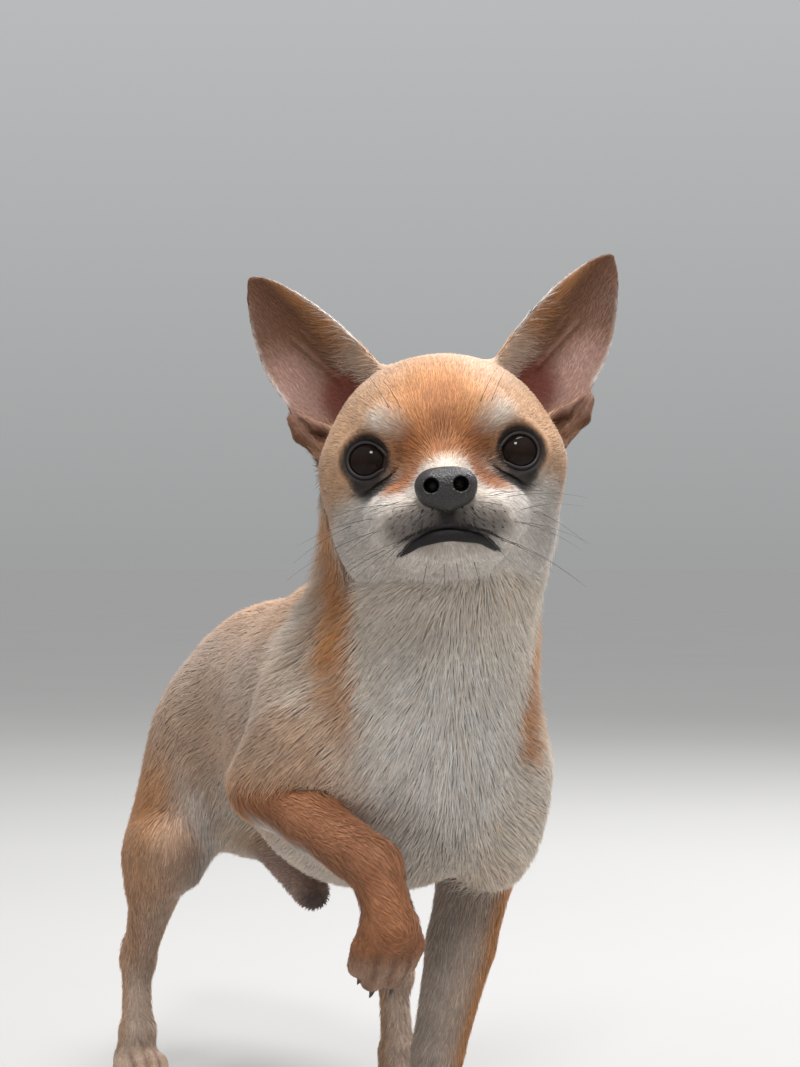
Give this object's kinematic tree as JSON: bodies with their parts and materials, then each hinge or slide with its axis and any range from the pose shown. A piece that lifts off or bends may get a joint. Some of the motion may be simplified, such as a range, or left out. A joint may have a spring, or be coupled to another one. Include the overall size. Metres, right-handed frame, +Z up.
{
  "type": "chihuahua dog model",
  "caption": "Life-size still model of a smooth-coated tan and white chihuahua, walking with its right forepaw raised and its head turned towards the viewer.",
  "frame": {"origin": "on the floor, under the middle of the dog's box", "axes": "+Z up, -Y the way the body faces, +X the dog's own left"},
  "size_m": [0.1344, 0.3206, 0.3281],
  "materials": {
    "head_coat": "short smooth fur, orange tan",
    "neck_coat": "longer soft fur, cream to white with tan sides",
    "body_coat": "short smooth fur, pinkish fawn",
    "tail_coat": "short smooth fur, orange tan",
    "foreleg_coat": "short smooth fur, tan outside and white inside",
    "rust_coat": "short smooth fur, rust orange",
    "hindleg_coat": "short smooth fur, tan fading to white in front",
    "hindfoot_coat": "short smooth fur, cream",
    "ear_skin": "thin skin, brown pink inside, tan fur behind",
    "nose_skin": "moist dark grey skin",
    "eye": "wet, near black"
  },
  "bodies": {
    "root": {"head": "head_coat", "neck": "neck_coat", "torso": "body_coat", "tail": "tail_coat", "nose": "nose_skin", "ear_left": "ear_skin", "ear_right": "ear_skin", "eye_left": "eye", "eye_right": "eye", "foreleg_left": "foreleg_coat", "forepaw_left": "foreleg_coat", "foreleg_right": "rust_coat", "forepaw_right": "rust_coat", "hindleg_left": "hindleg_coat", "hindfoot_left": "hindfoot_coat", "hindleg_right": "hindleg_coat", "hindfoot_right": "hindfoot_coat"}
  },
  "joints": []
}
